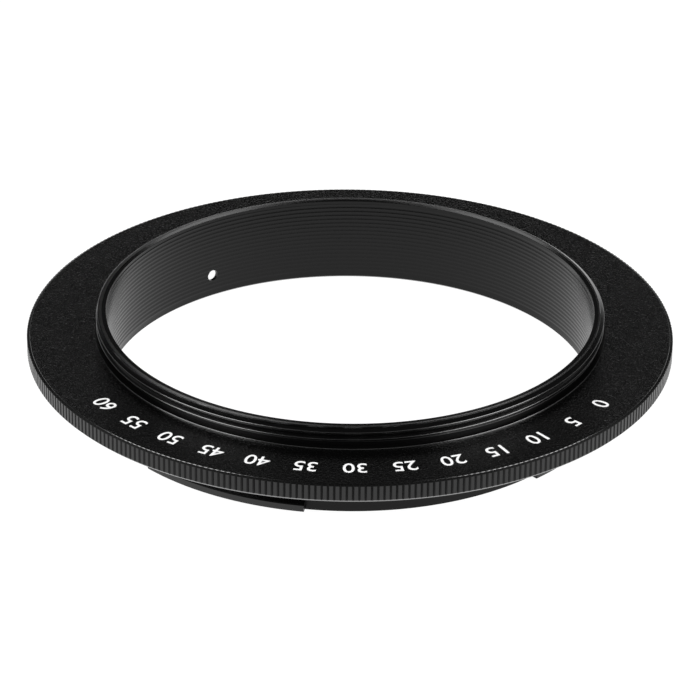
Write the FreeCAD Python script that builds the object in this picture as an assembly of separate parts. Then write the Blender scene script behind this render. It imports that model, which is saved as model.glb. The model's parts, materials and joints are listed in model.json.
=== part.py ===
# Macro reverse ring: one piece turned and milled from black anodised aluminium.
# A knurled flange carries a male filter thread above it, for the front of a lens, and a bayonet
# barrel with four claws below it, for a camera body. Light passes through the grooved bore.
#
# Millimetres. The ring stands on the foot of its barrel: Z is the ring's axis, Z = 0 is the foot,
# and the threaded collar is on top. Directions round the ring are in degrees from +X towards +Y.
import os

import FreeCAD
import Part
from math import cos, pi, radians, sin

os.makedirs("parts", exist_ok=True)

# Collar with the male filter thread, whose size everything else is built from
thread_radius = 25.95
collar_wall = 1.05
collar_height = 2.3
thread_lead_in = 0.2
thread_relief_width = 0.45
thread_relief_depth = 0.65
collar_step_width = 0.15
collar_step_height = 0.15

# Bore edges
bore_top_chamfer = 0.1
bore_foot_chamfer = 0.15

# Knurled flange: its width is measured out from the thread
flange_width = 7.05
flange_thickness = 1.9
knurl_count = 345
knurl_depth = 0.15
knurl_land = 0.04
flange_top_chamfer = 0.17
flange_foot_chamfer = 0.25

# Bayonet barrel
barrel_length = 4.9
barrel_wall = 1.3
barrel_neck_wall = 0.4
foot_edge_chamfer = 0.12

# Bayonet claws
claw_count = 4
claw_span = 37.7
claw_reach = 1.05
claw_thickness = 0.8
claw_setback = 0.3
claw_edge_chamfer = 0.1
claw_ramp_length = 1.6
claw_ramp_drop = 0.25
first_claw_direction = -118.0

# Small hole through the barrel's neck, and the blind hole for the camera's lock pin
side_hole_radius = 0.6
side_hole_direction = 126.4
side_hole_height = 2.42
lock_hole_radius = 1.6
lock_hole_depth = 1.1
lock_hole_from_rim = 2.9
lock_hole_direction = -28.0

# How far a cutting body reaches past what it cuts
cut_overrun = 1.0

# Levels and radii that follow from the sizes above
bore_radius = thread_radius - collar_wall
flange_radius = thread_radius + flange_width
flange_underside = barrel_length
shoulder_radius = flange_radius - knurl_depth - knurl_land
flange_top = flange_underside + flange_thickness
collar_top = flange_top + collar_height
barrel_radius = bore_radius + barrel_wall
neck_radius = bore_radius + barrel_neck_wall
claw_radius = barrel_radius + claw_reach
claw_top = claw_setback + claw_thickness
relief_radius = thread_radius - thread_relief_depth
relief_bottom = flange_top + collar_step_height
relief_top = relief_bottom + thread_relief_width
axis = FreeCAD.Vector(0, 0, 1)
centre = FreeCAD.Vector(0, 0, 0)


def turned(points, start=0.0, sweep=360.0):
    """Solid turned about Z from a closed outline of (radius, height) points."""
    corners = [FreeCAD.Vector(radius, 0, height) for radius, height in points]
    face = Part.Face(Part.makePolygon(corners + corners[:1]))
    face.rotate(centre, axis, start)
    return face.revolve(centre, axis, sweep)


def radial_direction(degrees):
    """Level unit vector in a direction round the ring."""
    return FreeCAD.Vector(cos(radians(degrees)), sin(radians(degrees)), 0)


def bore_outline():
    """Bore from the foot up, with a chamfer at each end."""
    return [
        (bore_radius + bore_foot_chamfer, 0),
        (bore_radius, bore_foot_chamfer),
        (bore_radius, collar_top - bore_top_chamfer),
        (bore_radius + bore_top_chamfer, collar_top),
    ]


def outside_outline():
    """Outside from the collar's top down: collar, relief, flange, neck and the barrel's foot."""
    step_radius = thread_radius + collar_step_width
    return [
        (thread_radius - thread_lead_in, collar_top),
        (thread_radius, collar_top - thread_lead_in),
        (thread_radius, relief_top),
        (relief_radius, relief_top),
        (relief_radius, relief_bottom),
        (step_radius, relief_bottom),
        (step_radius, flange_top),
        (shoulder_radius - flange_top_chamfer, flange_top),
        (shoulder_radius, flange_top - flange_top_chamfer),
        (shoulder_radius, flange_underside + flange_foot_chamfer),
        (shoulder_radius - flange_foot_chamfer, flange_underside),
        (neck_radius, flange_underside),
        (neck_radius, claw_top),
        (barrel_radius, claw_top),
        (barrel_radius, foot_edge_chamfer),
        (barrel_radius - foot_edge_chamfer, 0),
    ]


def knurled_band():
    """Toothed disc between the flange's two chamfers: sharp straight flutes side by side."""
    band_bottom = flange_underside + flange_foot_chamfer
    band_height = flange_thickness - flange_foot_chamfer - flange_top_chamfer
    corners = []
    for tooth in range(knurl_count):
        for radius, share in ((flange_radius, 0.0), (flange_radius - knurl_depth, 0.5)):
            turn = 2 * pi * (tooth + share) / knurl_count
            corners.append(FreeCAD.Vector(radius * cos(turn), radius * sin(turn), band_bottom))
    teeth = Part.Face(Part.makePolygon(corners + corners[:1])).extrude(axis * band_height)
    inner = (thread_radius + flange_radius) / 2
    return teeth.cut(Part.makeCylinder(inner, band_height, axis * band_bottom))


def claw(direction):
    """One bayonet claw: a turned sector, its outer edges eased and one end of its top ramped."""
    inner = (barrel_radius + neck_radius) / 2
    outline = [
        (inner, claw_setback),
        (claw_radius - claw_edge_chamfer, claw_setback),
        (claw_radius, claw_setback + claw_edge_chamfer),
        (claw_radius, claw_top - claw_edge_chamfer),
        (claw_radius - claw_edge_chamfer, claw_top),
        (inner, claw_top),
    ]
    start = direction - claw_span / 2
    return turned(outline, start, claw_span).cut(claw_ramp(start))


def claw_ramp(start):
    """Wedge that lowers the top of a claw towards its leading end, so that it slides in easily."""
    along = radial_direction(start + 90)
    out = radial_direction(start)
    inner_edge = out * barrel_radius
    profile = [
        inner_edge + axis * (claw_top - claw_ramp_drop),
        inner_edge + along * claw_ramp_length + axis * claw_top,
        inner_edge + along * claw_ramp_length + axis * (claw_top + claw_thickness),
        inner_edge - along * claw_ramp_length + axis * (claw_top + claw_thickness),
        inner_edge - along * claw_ramp_length + axis * (claw_top - 2 * claw_ramp_drop),
    ]
    wedge = Part.Face(Part.makePolygon(profile + profile[:1]))
    return wedge.extrude(out * (claw_reach + cut_overrun))


def side_hole():
    """Small round hole through one side of the barrel's neck, square to the axis."""
    out = radial_direction(side_hole_direction)
    start = out * (bore_radius - cut_overrun) + axis * side_hole_height
    return Part.makeCylinder(side_hole_radius, barrel_neck_wall + 2 * cut_overrun, start, out)


def lock_hole():
    """Blind round hole in the flange's underside, where the camera's lock pin springs in."""
    place = radial_direction(lock_hole_direction) * (flange_radius - lock_hole_from_rim)
    return Part.makeCylinder(lock_hole_radius, lock_hole_depth, place + axis * flange_underside)


def reverse_ring():
    """The whole ring as one solid."""
    ring = turned(bore_outline() + outside_outline())
    claws = []
    for number in range(claw_count):
        claws.append(claw(first_claw_direction + number * 360 / claw_count))
    ring = ring.fuse(claws + [knurled_band()])
    ring = ring.cut([side_hole(), lock_hole()])
    return ring.Solids[0]


ring = reverse_ring()
ring.exportStep("parts/reverse_ring.step")
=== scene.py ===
import json
from math import cos, radians, sin

import bmesh
import bpy
import numpy as np
from mathutils import Matrix, Vector


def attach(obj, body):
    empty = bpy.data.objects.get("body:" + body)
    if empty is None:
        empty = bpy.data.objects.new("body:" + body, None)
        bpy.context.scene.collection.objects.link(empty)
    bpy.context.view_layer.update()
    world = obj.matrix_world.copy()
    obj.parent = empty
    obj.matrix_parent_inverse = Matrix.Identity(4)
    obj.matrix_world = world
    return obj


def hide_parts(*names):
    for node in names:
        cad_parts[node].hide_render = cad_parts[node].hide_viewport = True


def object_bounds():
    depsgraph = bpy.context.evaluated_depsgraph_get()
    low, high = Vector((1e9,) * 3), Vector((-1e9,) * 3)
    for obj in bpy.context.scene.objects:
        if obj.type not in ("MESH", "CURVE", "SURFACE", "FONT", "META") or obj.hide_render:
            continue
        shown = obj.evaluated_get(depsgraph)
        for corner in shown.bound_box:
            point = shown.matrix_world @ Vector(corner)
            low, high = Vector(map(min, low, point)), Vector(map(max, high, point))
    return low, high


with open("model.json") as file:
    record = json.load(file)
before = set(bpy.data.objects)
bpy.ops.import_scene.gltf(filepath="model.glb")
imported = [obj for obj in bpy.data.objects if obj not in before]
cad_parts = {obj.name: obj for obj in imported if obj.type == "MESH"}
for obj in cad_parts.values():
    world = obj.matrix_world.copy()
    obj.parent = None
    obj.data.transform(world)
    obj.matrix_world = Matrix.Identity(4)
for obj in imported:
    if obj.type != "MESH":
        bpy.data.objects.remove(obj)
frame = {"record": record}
cad_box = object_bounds()

# Camera
# A long lens looks down on the ring from in front, with its aim a little below the ring, so
# that the ring stands above the middle of the picture. The ring leans slightly to the right.
MM = 0.001
flange_top = 6.8
camera_distance = 409.6
camera_elevation = radians(27.32)
camera_roll = radians(0.549)
focal_pixels = 4000.0
picture_pixels = 700.0
aim_below_centre_pixels = 23.67
sensor_width = 36.0

towards_camera = Vector((0, -cos(camera_elevation), sin(camera_elevation)))
level_right = Vector((1, 0, 0))
level_up = towards_camera.cross(level_right)
camera_right = level_right * cos(camera_roll) + level_up * sin(camera_roll)
camera_up = level_up * cos(camera_roll) - level_right * sin(camera_roll)
camera_place = Vector((0, 0, flange_top * MM)) + towards_camera * camera_distance * MM

camera_data = bpy.data.cameras.new("photo_camera")
camera_data.sensor_width = sensor_width
camera_data.lens = sensor_width * focal_pixels / picture_pixels
camera_data.shift_y = -aim_below_centre_pixels / picture_pixels
camera_data.clip_start = 0.01
camera = bpy.data.objects.new("photo_camera", camera_data)
turned_axes = Matrix((camera_right, camera_up, towards_camera)).transposed()
camera.matrix_world = Matrix.Translation(camera_place) @ turned_axes.to_4x4()
bpy.context.scene.collection.objects.link(camera)
bpy.context.scene.camera = camera


# Studio
# A white table with a low wall round it, in a dim room. The turned edges glint with a large
# softbox on each side, and the dished top of the collar with two small ones behind the ring.
class Shade:
    """A shader socket that Python's arithmetic works on: each operator adds a Math node."""

    def __init__(self, finish, socket):
        self.finish = finish
        self.socket = socket

    def maths(self, operation, first, second):
        return self.finish.node("ShaderNodeMath", {"operation": operation}, {0: first, 1: second})

    def at_least(self, other):
        return self.maths("MAXIMUM", self, other)

    def __add__(self, other):
        return self.maths("ADD", self, other)

    __radd__ = __add__

    def __sub__(self, other):
        return self.maths("SUBTRACT", self, other)

    def __rsub__(self, other):
        return self.maths("SUBTRACT", other, self)

    def __mul__(self, other):
        return self.maths("MULTIPLY", self, other)

    __rmul__ = __mul__


class Finish:
    """A material under construction. Its constants are set on the shader's own sockets."""

    def __init__(self, name, **constants):
        self.material = bpy.data.materials.new(name)
        self.material.use_nodes = True
        self.tree = self.material.node_tree
        self.shader = self.tree.nodes["Principled BSDF"]
        for socket, value in constants.items():
            self.shader.inputs[socket.replace("_", " ")].default_value = value

    def node(self, kind, settings=None, inputs=None, output=0):
        """Add a node: its settings first, then each input's value or link. Gives one output."""
        node = self.tree.nodes.new(kind)
        for name, value in (settings or {}).items():
            setattr(node, name, value)
        for key, value in (inputs or {}).items():
            if isinstance(value, Shade):
                self.tree.links.new(value.socket, node.inputs[key])
            else:
                node.inputs[key].default_value = value
        return Shade(self, node.outputs[output])

    def place(self):
        """Where a point lies on the piece, in metres, as a vector."""
        return self.node("ShaderNodeTexCoord", output="Object")

    def feed(self, socket, value):
        """Let a worked-out value drive one of the shader's inputs."""
        self.tree.links.new(value.socket, self.shader.inputs[socket])


def add_object(name, mesh, *materials):
    """Link a mesh as an object at the origin with its materials."""
    thing = bpy.data.objects.new(name, mesh)
    for material in materials:
        mesh.materials.append(material)
    bpy.context.scene.collection.objects.link(thing)
    return thing


table_half_width = 3.0
table_drop = 0.00005
table_points = [(x, y, -table_drop) for x, y in
                ((-table_half_width, -table_half_width), (table_half_width, -table_half_width),
                 (table_half_width, table_half_width), (-table_half_width, table_half_width))]
table_mesh = bpy.data.meshes.new("table")
table_mesh.from_pydata(table_points, [], [(0, 1, 2, 3)])
table_finish = Finish("white_table", Base_Color=(0.1, 0.1, 0.1, 1), Roughness=0.9,
                      Emission_Color=(1, 1, 1, 1), Emission_Strength=0.97)
table = add_object("table", table_mesh, table_finish.material)

# A low white wall stands all round the table, so that edges that face outwards glint.
wall_radius = table_half_width
wall_height = 0.5
wall_sides = 64
wall_turns = np.arange(wall_sides) * 2 * np.pi / wall_sides
wall_ring = np.stack([wall_radius * np.cos(wall_turns), wall_radius * np.sin(wall_turns),
                      np.zeros(wall_sides)], axis=1)
wall_points = np.concatenate([wall_ring, wall_ring + (0, 0, wall_height)])
wall_index = np.arange(wall_sides)
wall_next = (wall_index + 1) % wall_sides
wall_faces = np.stack([wall_next, wall_index, wall_index + wall_sides, wall_next + wall_sides], axis=1)
wall_mesh = bpy.data.meshes.new("low_wall")
wall_mesh.from_pydata(wall_points, [], wall_faces.tolist())
wall = add_object("low_wall", wall_mesh, table_finish.material)

room_strength = 0.03
room = bpy.data.worlds.new("dim_room")
room.use_nodes = True
room.node_tree.nodes["Background"].inputs["Color"].default_value = (1, 1, 1, 1)
room.node_tree.nodes["Background"].inputs["Strength"].default_value = room_strength
bpy.context.scene.world = room
bpy.context.scene.view_settings.view_transform = "Standard"


def softbox(name, direction, distance, width, power):
    """Square light at a distance in a direction, facing the ring."""
    light = bpy.data.lights.new(name, "AREA")
    light.shape = "SQUARE"
    light.size = width
    light.energy = power
    lamp = bpy.data.objects.new(name, light)
    place = direction.normalized() * distance
    lamp.matrix_world = Matrix.Translation(place) @ place.to_track_quat("Z", "Y").to_matrix().to_4x4()
    bpy.context.scene.collection.objects.link(lamp)


softbox_distance = 0.8
softbox_direction = Vector((0.75, -0.35, 0.42))
softbox_width = 0.6
softbox_power = 10.0
back_direction = Vector((0.22, 0.62, 0.75))
back_width = 0.25
back_power = 0.2
for name, side in (("left", -1), ("right", 1)):
    mirror = Vector((side, 1, 1))
    softbox(name + "_softbox", softbox_direction * mirror, softbox_distance, softbox_width,
            softbox_power)
    softbox(name + "_back_softbox", back_direction * mirror, softbox_distance, back_width, back_power)


# Reverse ring
# One ring of aluminium, turned on a lathe, threaded, knurled and milled, then blasted and
# anodised black. Its skin is worked out round the axis as rings of points, in millimetres.
mounts = {mount["name"]: mount for mount in frame["record"]["mounts"]}
thread_radius = mounts["filter_thread"]["dims"]["r_mm"]
bore_radius = mounts["bore"]["dims"]["r_mm"]
flange_underside = mounts["bayonet"]["pos_m"][2] / MM
flange_radius = cad_box[1][0] / MM
collar_top = cad_box[1][2] / MM

thread_pitch = 0.75
thread_depth = 0.46
thread_height_at_front = 8.6
lead_in = 0.2
crown_width = 0.02
lip_width = 0.03
lip_height = 0.05
step_width = 0.15
step_height = 0.15
step_bevel_width = 0.02
step_bevel_height = 0.035
relief_height = 0.45
relief_depth = 0.65
step_radius = thread_radius + step_width
relief_radius = thread_radius - relief_depth
relief_bottom = flange_top + step_height
relief_top = relief_bottom + relief_height

glare_pitch = 0.454
glare_depth = 0.04
glare_low = 0.75
glare_high = 8.75
bore_edge = 0.03
dish_radius = 25.35
bore_foot_edge = 0.15

rim_edge_width = 0.28
rim_edge_height = 0.13
rim_line_width = 0.03
rim_line_drop = 0.045
rim_low_edge = 0.25
rim_low_share = 0.4
knurl_count = 345
knurl_depth = 0.15

neck_wall = 0.4
barrel_wall = 1.3
foot_edge = 0.12
claw_reach = 1.05
claw_low = 0.3
claw_thickness = 0.8
claw_edge = 0.1
claw_top_drop = 0.002
claw_span = 37.7
claw_count = 4
first_claw = -118.0
ramp_length = 1.6
ramp_drop = 0.25
neck_radius = bore_radius + neck_wall
barrel_radius = bore_radius + barrel_wall
claw_radius = barrel_radius + claw_reach
claw_top = claw_low + claw_thickness

side_hole_radius = 0.6
side_hole_direction = 126.4
side_hole_height = 2.42
lock_hole_radius = 1.6
lock_hole_depth = 1.1
lock_hole_from_rim = 2.9
lock_hole_direction = -28.0
drill_sides = 48
drill_overrun = 1.0

# Columns of points round the bore, and round the collar and the barrel. The first goes a whole
# number of times into the second, and the second into the knurl's. Crowded rows stay a hair apart.
bore_columns = 230
collar_columns = 460
hair = 0.0004


def turn_outwards(mesh, merge_within=0.0):
    """Turn a closed mesh's faces outwards, once points nearer than a set distance are merged."""
    work = bmesh.new()
    work.from_mesh(mesh)
    if merge_within:
        bmesh.ops.remove_doubles(work, verts=work.verts, dist=merge_within)
    bmesh.ops.recalc_face_normals(work, faces=work.faces)
    work.to_mesh(mesh)
    work.free()


class Skin:
    """Points and faces of one closed surface, gathered ring by ring."""

    def __init__(self):
        self.points = []
        self.count = 0
        self.faces = []
        self.finishes = []

    def rings(self, turns, radius, height):
        """Add rows of points round the axis. Gives their numbers, row by row.

        A point is radius times the cosine and the sine of its turn, and its height.
        """
        turns, radius, height = np.broadcast_arrays(*map(np.atleast_2d, (turns, radius, height)))
        points = np.stack([radius * np.cos(turns), radius * np.sin(turns), height], axis=-1)
        self.points.append(points.reshape(-1, 3))
        numbers = self.count + np.arange(turns.size).reshape(turns.shape)
        self.count += turns.size
        return numbers

    def add(self, faces, finish):
        """Add faces, each a list of point numbers, that share one finish."""
        self.faces.extend(faces)
        self.finishes.extend([finish] * len(faces))

    def strip(self, low, high, finish, skip=()):
        """Join two rings, each point and its next to the pair above, but for the skipped columns."""
        corners = np.stack([low, np.roll(low, -1), np.roll(high, -1), high], axis=1)
        keep = np.setdiff1d(np.arange(len(low)), skip)
        self.faces.extend(corners[keep].tolist())
        self.finishes.extend(np.broadcast_to(finish, len(low))[keep].tolist())

    def sheet(self, numbers, finish):
        """Join each row of points to the next one."""
        for low, high in zip(numbers[:-1], numbers[1:]):
            self.strip(low, high, finish)

    def step(self, few, many, finish):
        """Join a ring to one with a whole number of times its points, across a flat.

        Each side of the first ring makes one face with the run of points that it spans.
        """
        times = len(many) // len(few)
        runs = np.append(many, many[:1])[np.arange(len(few))[:, None] * times + np.arange(times + 1)]
        fan = np.column_stack([np.roll(few, -1), few, runs])
        self.add(fan.tolist(), finish)

    def mesh(self, name):
        """The skin as a mesh in metres, its faces all turned outwards."""
        mesh = bpy.data.meshes.new(name)
        mesh.from_pydata(np.concatenate(self.points) * MM, [], self.faces)
        mesh.polygons.foreach_set("material_index", self.finishes)
        turn_outwards(mesh)
        mesh.update()
        return mesh


def full_turn(columns):
    """Directions of evenly spaced columns in radians: column k is k shares of a whole turn."""
    return np.arange(columns) * 2 * np.pi / columns


def helix_rows(skin, columns, low, high, pitch, hand, offsets, depths, marked_height, wall, finish):
    """Cover a wall between two levels with a screw-cut groove.

    Gives the wall's lowest and highest ring, and the function that gives a ring's radius.

    Row number k follows the helix: its height is pitch * (k / rows in a turn + share of a turn), so
    a crest or a groove edge is always one clean row. Rows that would pass a level are held a hair
    inside it. After one turn each row meets the one a whole turn further up. The radius is what
    wall() gives for the height and the groove's depth there, which is read off the offsets and
    depths of one pitch. hand is 1 for a right-hand helix and -1 for a left-hand one.
    """
    turns = full_turn(columns)
    share = np.arange(columns) / columns
    if hand < 0:
        share = (columns - np.arange(columns)) % columns / columns
    share_at_front = 0.75 if hand > 0 else 0.25
    start = marked_height - share_at_front * pitch
    start -= (np.ceil((start - low) / pitch) + 1) * pitch
    whole_turns = int(np.ceil((high - start) / pitch))
    per_turn = len(offsets)
    row = np.arange(whole_turns * per_turn + 1)[:, None]
    order = row + per_turn * share
    height = start + pitch * (row // per_turn + share) + np.append(offsets, 0)[row % per_turn]
    last = order.max()
    height = np.clip(height, low + hair * (order + 1), high - hair * (last + 1 - order))

    def ring_at(level):
        within = np.mod(level - start - pitch * share, pitch)
        depth = np.interp(within, offsets, depths, period=pitch)
        return wall(level, depth)

    rows = skin.rings(turns, ring_at(height), height)
    bottom = skin.rings(turns, ring_at(np.full(columns, low)), low)[0]
    top = skin.rings(turns, ring_at(np.full(columns, high)), high)[0]
    seam = columns - 1 if hand > 0 else 0
    first, before = (0, columns - 1) if hand > 0 else (0, 1)
    for lower, upper in zip(np.vstack([bottom, rows[:-1]]), rows):
        skin.strip(lower, upper, finish, skip=[seam])
    skin.strip(rows[-1], top, finish, skip=[seam])
    left, right = rows[:-per_turn, before], rows[per_turn:, first]
    skin.add(np.stack([left[:-1], right[:-1], right[1:], left[1:]], axis=1).tolist(), finish)
    start_of_groove = [bottom[before], bottom[first], *rows[:per_turn + 1, first], rows[0, before]]
    end_of_groove = [rows[-1, first], top[first], top[before], *rows[:-per_turn - 2:-1, before]]
    skin.add([[int(n) for n in start_of_groove], [int(n) for n in end_of_groove]], finish)
    return bottom, top, ring_at


def claw_columns():
    """Column directions below the flange, evenly spaced but for a close pair at each claw's end.

    Gives the directions in radians, whether each column is on a claw, and how far each is past
    the start of its claw, in degrees.
    """
    degrees = np.degrees(full_turn(collar_columns))
    pair_gap = 0.04
    for claw in range(claw_count):
        start = first_claw - claw_span / 2 + claw * 360 / claw_count
        for end, outwards in ((start, -1), (start + claw_span, 1)):
            on = int(round((end % 360) * collar_columns / 360)) % collar_columns
            off = (on + outwards) % collar_columns
            degrees[on] = end % 360
            degrees[off] = (end + outwards * pair_gap) % 360
    past = (degrees - (first_claw - claw_span / 2)) % (360 / claw_count)
    rounding = 0.001
    past = np.where(past > 360 / claw_count - rounding, 0, past)
    return np.radians(degrees), past <= claw_span + rounding, past


BLASTED, TURNED, GROOVED, KNURLED, FACED, DISHED, PAINTED_FLUTE_SHADE, PAINTED_DIM_SHADE, PAINTED_CONTACT_SHADE = range(9)
skin = Skin()

# Bore, from the foot up. Its grooves are fine, and a narrow land stands between two of them.
bore_turns = full_turn(bore_columns)
foot_inner = skin.rings(bore_turns, bore_radius + bore_foot_edge, 0)[0]
bore_start = skin.rings(bore_turns, bore_radius, bore_foot_edge)[0]
groove_offsets = np.array([0.02, 0.045, 0.207, 0.247, 0.409, 0.434])
groove_depths = glare_depth * np.array([0, 0.08, 1, 1, 0.08, 0])
groove_low, groove_high, _ = helix_rows(
    skin, bore_columns, glare_low, glare_high, glare_pitch, -1, groove_offsets, groove_depths,
    glare_low, lambda level, depth: bore_radius + depth, GROOVED)
bore_end = skin.rings(bore_turns, bore_radius, collar_top - bore_edge)[0]
collar_inner = skin.rings(bore_turns, bore_radius + bore_edge, collar_top)[0]
skin.strip(foot_inner, bore_start, TURNED)
skin.strip(bore_start, groove_low, GROOVED)
skin.strip(groove_high, bore_end, GROOVED)
skin.strip(bore_end, collar_inner, TURNED)

# Collar, from its top down: lead-in, thread, relief and the low step on the flange. The thread's
# profile is given by heights within one pitch and the depth at each, with its edges broken.
thread_offsets = np.array([0.02, 0.06, 0.085, 0.305, 0.445, 0.665, 0.69, 0.73])
thread_depths = thread_depth * np.array([0, 0.04, 0.12, 0.98, 0.98, 0.12, 0.04, 0])
round_drops = np.array([0.0, 0.014, 0.042])
round_radii = thread_radius - lead_in + np.array([-0.06, -0.002, 0.042])


def thread_wall(level, depth):
    """The thread's radius: the major radius less the groove's depth, and never past the lead-in.

    The lead-in is a cone of 45 degrees, which a small round joins to the collar's top.
    """
    below_top = collar_top - level
    cone = thread_radius - np.maximum(0, lead_in - below_top)
    rounded = np.interp(below_top, round_drops, round_radii)
    cone = np.where(below_top < round_drops[-1], rounded, cone)
    return np.minimum(thread_radius - depth, cone)


collar_turns = full_turn(collar_columns)
cone_low, cone_top, cone_ring = helix_rows(
    skin, collar_columns, collar_top - lead_in, collar_top - round_drops[-1], thread_pitch, 1,
    thread_offsets, thread_depths, thread_height_at_front, thread_wall, TURNED)
lip_level = np.full(collar_columns, relief_top + lip_height)
thread_start, thread_end, thread_ring = helix_rows(
    skin, collar_columns, lip_level[0], collar_top - lead_in, thread_pitch, 1, thread_offsets,
    thread_depths, thread_height_at_front, thread_wall, TURNED)
lip_radius = np.minimum(thread_radius, thread_ring(lip_level) + lip_width)
lip = skin.rings(collar_turns, lip_radius, relief_top)[0]
# The lip's face takes a duller finish: painted shade.
skin.strip(lip, thread_start, PAINTED_DIM_SHADE)
skin.strip(thread_end, cone_low, TURNED)
crown = [cone_top]
for drop in round_drops[-2::-1]:
    level = np.full(collar_columns, collar_top - drop)
    crown.append(skin.rings(collar_turns, cone_ring(level), level)[0])
crown.append(skin.rings(collar_turns, cone_ring(level) - crown_width, collar_top)[0])
skin.sheet(np.array(crown), TURNED)
dish_edge = skin.rings(bore_turns, dish_radius, collar_top)[0]
skin.strip(collar_inner, dish_edge, DISHED)
skin.step(dish_edge, crown[-1], FACED)
relief = skin.rings(collar_turns, relief_radius, np.array([[relief_top], [relief_bottom]]))
step_radii = np.array([[step_radius - step_bevel_width], [step_radius], [step_radius]])
step_levels = np.array([[relief_bottom], [relief_bottom - step_bevel_height], [flange_top]])
step = skin.rings(collar_turns, step_radii, step_levels)
skin.strip(lip, relief[0], TURNED)
# The relief takes a duller finish: painted shade in the recess.
skin.sheet(relief, PAINTED_DIM_SHADE)
skin.strip(relief[1], step[0], PAINTED_DIM_SHADE)
skin.sheet(step, TURNED)

# Knurled rim, its points at shares of the knurl's pitch from a tooth's middle, each with its depth.
# The chamfers cut across the teeth: a flute dies out in the upper one and grows shallow at the lower.
tooth_offsets = np.array([-0.27, 0.27, 0.33, 0.40, 0.47, 0.53, 0.60, 0.67])
tooth_depths = knurl_depth * np.array([0, 0, 0.25, 0.6, 1, 1, 0.6, 0.25])
rim_turns = (np.arange(knurl_count)[:, None] + tooth_offsets).ravel() * 2 * np.pi / knurl_count
cut = np.tile(tooth_depths, knurl_count)
rim_line = flange_radius - rim_edge_width
rim_flat = skin.rings(rim_turns, rim_line - 2 * rim_line_width, flange_top)[0]
rim_start = skin.rings(rim_turns, rim_line - rim_line_width, flange_top)[0]
rim_top = skin.rings(rim_turns, rim_line, flange_top - rim_line_drop)[0]
rim_slope = (rim_edge_height - rim_line_drop) / rim_edge_width
tooth_top = skin.rings(
    rim_turns, flange_radius - cut, flange_top - rim_edge_height + rim_slope * cut)[0]
shallow = cut * rim_low_share
chamfered_low = skin.rings(
    rim_turns, flange_radius - shallow, flange_underside + rim_low_edge - shallow)[0]
rim_low = skin.rings(rim_turns, flange_radius - rim_low_edge, flange_underside)[0]
skin.step(step[2], rim_flat, BLASTED)
skin.strip(rim_flat, rim_start, BLASTED)
flute_faces = len(tooth_offsets) - 1
# The flutes' faces and the upper chamfer take a duller finish than the teeth's fronts: painted shade in
# the hollows.
skin.strip(rim_start, rim_top, np.tile([TURNED] + [PAINTED_FLUTE_SHADE] * flute_faces, knurl_count))
skin.strip(rim_top, tooth_top, PAINTED_FLUTE_SHADE)
skin.strip(tooth_top, chamfered_low, np.tile([KNURLED] + [PAINTED_FLUTE_SHADE] * flute_faces, knurl_count))
skin.strip(chamfered_low, rim_low, TURNED)

# Neck, claws and foot: the barrel's rows swing out to a claw's profile on the claws' columns
claw_turns, on_claw, past_start = claw_columns()
along = np.radians(past_start) * barrel_radius
claw_level = claw_top - ramp_drop * np.maximum(0, 1 - along / ramp_length)
neck = skin.rings(claw_turns, neck_radius, np.array([[flange_underside], [claw_top]]))
shelf = skin.rings(claw_turns, barrel_radius, claw_top)[0]
claw_profile = [
    (barrel_radius, claw_level - claw_top_drop),
    (claw_radius - claw_edge, claw_level - claw_top_drop),
    (claw_radius, claw_level - claw_edge),
    (claw_radius, claw_low + claw_edge),
    (claw_radius - claw_edge, claw_low),
]
barrel_levels = [1.08, 1.05, 0.85, 0.55, 0.35]
claw_rows = []
for (profile_radius, profile_level), barrel_level in zip(claw_profile, barrel_levels):
    radius = np.where(on_claw, profile_radius, barrel_radius)
    level = np.where(on_claw, profile_level, barrel_level)
    claw_rows.append(skin.rings(claw_turns, radius, level)[0])
foot_radii = np.array([[barrel_radius], [barrel_radius], [barrel_radius - foot_edge]])
foot = skin.rings(claw_turns, foot_radii, np.array([[claw_low], [foot_edge], [0]]))
skin.step(neck[0], rim_low, BLASTED)
skin.sheet(neck, TURNED)
skin.strip(neck[1], shelf, TURNED)
# The barrel, between the claws and below them down to the foot's chamfer, takes a duller finish than the
# claws: painted shade.
skin.sheet(np.vstack([shelf, *claw_rows[:-1]]), np.where(on_claw, KNURLED, PAINTED_DIM_SHADE))
# The claws' lowest strip and the foot's chamfer take a finish with almost no shine: painted contact
# shade, as the evenly lit table casts none.
skin.sheet(np.vstack([claw_rows[-2:], foot[:1]]), np.where(on_claw, PAINTED_CONTACT_SHADE, PAINTED_DIM_SHADE))
skin.strip(foot[0], foot[1], PAINTED_DIM_SHADE)
skin.strip(foot[1], foot[2], PAINTED_CONTACT_SHADE)
skin.step(foot_inner, foot[2], TURNED)


def drill(name, radius, length, start, direction):
    """Closed cylinder with many sides, from a start along a direction, in millimetres."""
    work = bmesh.new()
    bmesh.ops.create_cone(work, cap_ends=True, segments=drill_sides, radius1=radius * MM,
                          radius2=radius * MM, depth=length * MM)
    turn = Vector(direction).to_track_quat("Z", "Y").to_matrix().to_4x4()
    middle = (Vector(start) + Vector(direction).normalized() * length / 2) * MM
    bmesh.ops.transform(work, matrix=Matrix.Translation(middle) @ turn, verts=work.verts)
    mesh = bpy.data.meshes.new(name)
    work.to_mesh(mesh)
    work.free()
    return bpy.data.objects.new(name, mesh)


def cut_holes(ring, drills):
    """Cut closed cylinders out of the ring's mesh, and take the cylinders away."""
    for tool in drills:
        bpy.context.scene.collection.objects.link(tool)
        cut_out = ring.modifiers.new(tool.name, "BOOLEAN")
        cut_out.object = tool
        cut_out.solver = "EXACT"
    depsgraph = bpy.context.evaluated_depsgraph_get()
    drilled = bpy.data.meshes.new_from_object(ring.evaluated_get(depsgraph))
    ring.modifiers.clear()
    ring.data = drilled
    for tool in drills:
        bpy.data.objects.remove(tool)


def level_direction(degrees):
    """Level unit vector in a direction round the ring."""
    return Vector((cos(radians(degrees)), sin(radians(degrees)), 0))


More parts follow.
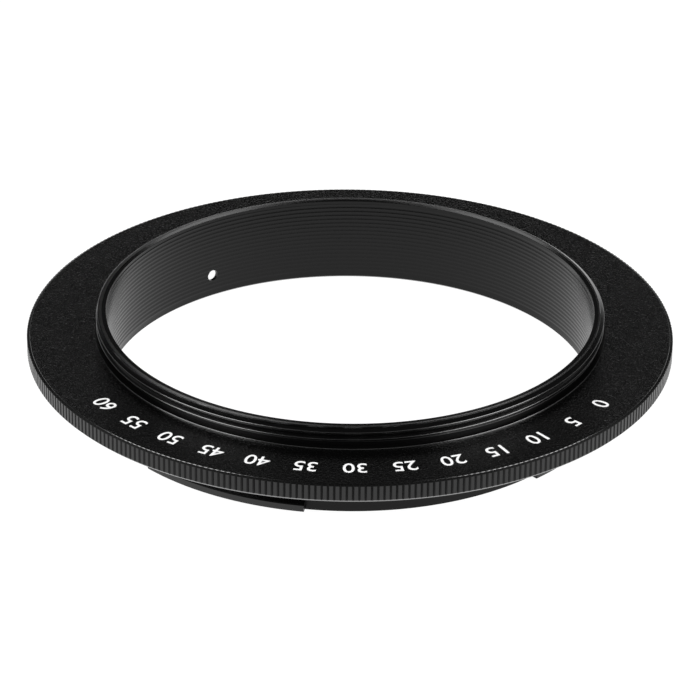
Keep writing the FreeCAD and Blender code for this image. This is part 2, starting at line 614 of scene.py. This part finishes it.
def black_anodised(name, base, roughness, shine, grain_size=0.2, bump_height=0.002, mottle=0.0):
    """Black anodising with a fine grain, of a set size in millimetres.

    The base colour is scaled by the grain, from a half to one and a half, and the bumps are as high
    as the grain times their height. With a mottle the roughness is scaled by the grain too.
    """
    finish = Finish(name, Roughness=roughness, Specular_IOR_Level=shine)
    grain = finish.node("ShaderNodeTexNoise", {},
                        {"Vector": finish.place(), "Scale": 1 / (grain_size * MM), "Detail": 2.0})
    level = base * (1 + (grain - 0.5))
    colour = finish.node("ShaderNodeCombineColor", {}, {"Red": level, "Green": level, "Blue": level})
    bump = finish.node("ShaderNodeBump", {},
                       {"Strength": 1.0, "Distance": bump_height * MM, "Height": grain})
    finish.feed("Base Color", colour)
    finish.feed("Normal", bump)
    if mottle:
        finish.feed("Roughness", roughness * (1 + mottle * (grain - 0.5)))
    return finish.material


def faced_black(name, base, roughness, streak, lean):
    """Black anodising over fine circular tool marks, which spread its shine in and out.

    The shading normal leans towards the axis: from the face's own normal it takes the direction
    outwards, times the lean and the share of that direction that points to the back.
    """
    across_the_marks = 0.25
    finish = Finish(name, Base_Color=(base, base, base, 1), Roughness=roughness, Metallic=1.0,
                    Anisotropic=streak, Anisotropic_Rotation=across_the_marks)

    def vector(operation, inputs, output="Vector"):
        return finish.node("ShaderNodeVectorMath", {"operation": operation}, inputs, output)

    level_place = vector("MULTIPLY", {0: finish.place(), 1: (1, 1, 0)})
    outwards = vector("NORMALIZE", {0: level_place})
    backwards = vector("DOT_PRODUCT", {0: outwards, 1: (0, 1, 0)}, "Value")
    leaning = vector("SCALE", {0: outwards, "Scale": -lean * backwards.at_least(0.0)})
    upright = finish.node("ShaderNodeNewGeometry", output="Normal")
    tilted = vector("ADD", {0: upright, 1: leaning})
    finish.feed("Normal", vector("NORMALIZE", {0: tilted}))
    return finish.material


# Each finish's base, roughness and shine, in the order of the finish numbers
blasted = black_anodised("blasted_black", 0.001, 0.25, 0.35, grain_size=0.25, bump_height=0.05,
                         mottle=0.8)
turned = black_anodised("turned_black", 0.0005, 0.2, 0.8)
grooved = black_anodised("grooved_black", 0.001, 0.17, 0.24)
knurled = black_anodised("knurled_black", 0.001, 0.25, 0.5)
faced = faced_black("faced_black", 0.25, 0.32, streak=0.9, lean=0.0)
dished = faced_black("dished_black", 0.15, 0.16, streak=0.9, lean=0.37)
# Duller than the knurled teeth: painted shade in the flutes and on the upper chamfer.
painted_flute_shade = black_anodised("fluted_black", 0.001, 0.3, 0.25)
# Duller than the claws: painted shade on the lip, the relief and the barrel.
barrel = black_anodised("barrel_black", 0.001, 0.3, 0.2)
# Almost no shine: painted contact shade on the claws' lowest strip and the foot's chamfer.
painted_contact_shade = black_anodised("shaded_black", 0.001, 0.5, 0.02)

ring = add_object("reverse_ring_body", skin.mesh("reverse_ring_body"), blasted, turned,
                  grooved, knurled, faced, dished, painted_flute_shade, barrel, painted_contact_shade)

# The small hole through the neck, and the blind hole in the flange's underside for a lock pin
outwards = level_direction(side_hole_direction)
side_start = outwards * (bore_radius - drill_overrun) + Vector((0, 0, side_hole_height))
side_drill = drill("side_drill", side_hole_radius, neck_radius - bore_radius + 2 * drill_overrun,
                   side_start, outwards)
lock_place = level_direction(lock_hole_direction) * (flange_radius - lock_hole_from_rim)
lock_start = lock_place + Vector((0, 0, flange_underside - drill_overrun))
lock_drill = drill("lock_drill", lock_hole_radius, lock_hole_depth + drill_overrun, lock_start, (0, 0, 1))
cut_holes(ring, [side_drill, lock_drill])
ring.data.shade_smooth()
sharp_edge = radians(35)
ring.data.set_sharp_from_angle(angle=sharp_edge)
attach(ring, "root")
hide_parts("reverse_ring")


# Numbers
# Plain white numbers printed on the flange in front of the collar, their tops outwards. They
# read clockwise seen from above.
number_step = 5
number_count = 13
number_height = 1.8
number_foot_radius = 28.7
first_number_direction = -33.0
last_number_direction = -144.5
ink_thickness = 0.012
ink_sunk = 0.004
stroke_weight = 0.005
merge_distance = 1e-7


def flat_number(text, height):
    """Points and faces of a number lying flat, centred on the line it stands on, in millimetres.

    Both its width and its height are scaled by the height wanted over the height it has.
    """
    curve = bpy.data.curves.new("number", "FONT")
    curve.body = text
    curve.align_x = "CENTER"
    curve.offset = stroke_weight
    curve.extrude = 1.0
    curve.resolution_u = 4
    thing = bpy.data.objects.new("number", curve)
    bpy.context.scene.collection.objects.link(thing)
    depsgraph = bpy.context.evaluated_depsgraph_get()
    mesh = bpy.data.meshes.new_from_object(thing.evaluated_get(depsgraph))
    points = np.empty(len(mesh.vertices) * 3)
    mesh.vertices.foreach_get("co", points)
    points = points.reshape(-1, 3)
    foot = points[:, 1].min()
    points[:, 1] -= foot
    points[:, :2] *= height / points[:, 1].max()
    points[:, 2] *= (ink_thickness + ink_sunk) / 2
    faces = [list(face.vertices) for face in mesh.polygons]
    bpy.data.objects.remove(thing)
    return points, faces


# Each number is bent round the ring: a point's height in the number adds to its radius, and its
# place along the line, divided by the radius at mid height, turns it clockwise.
number_points, number_faces = [], []
used = 0
number_directions = np.radians(np.linspace(first_number_direction, last_number_direction, number_count))
for number, direction in enumerate(number_directions):
    points, faces = flat_number(str(number * number_step), number_height)
    radius = number_foot_radius + points[:, 1]
    turn = direction - points[:, 0] / (number_foot_radius + number_height / 2)
    level = flange_top + (ink_thickness - ink_sunk) / 2 + points[:, 2]
    number_points.append(np.stack([radius * np.cos(turn), radius * np.sin(turn), level], axis=1))
    number_faces += [[corner + used for corner in face] for face in faces]
    used += len(points)

print_mesh = bpy.data.meshes.new("flange_numbers")
print_mesh.from_pydata(np.concatenate(number_points) * MM, [], number_faces)
turn_outwards(print_mesh, merge_distance)
ink = Finish("white_ink", Base_Color=(0.8, 0.8, 0.8, 1), Roughness=0.6)
numbers = add_object("flange_numbers", print_mesh, ink.material)
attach(numbers, "root")
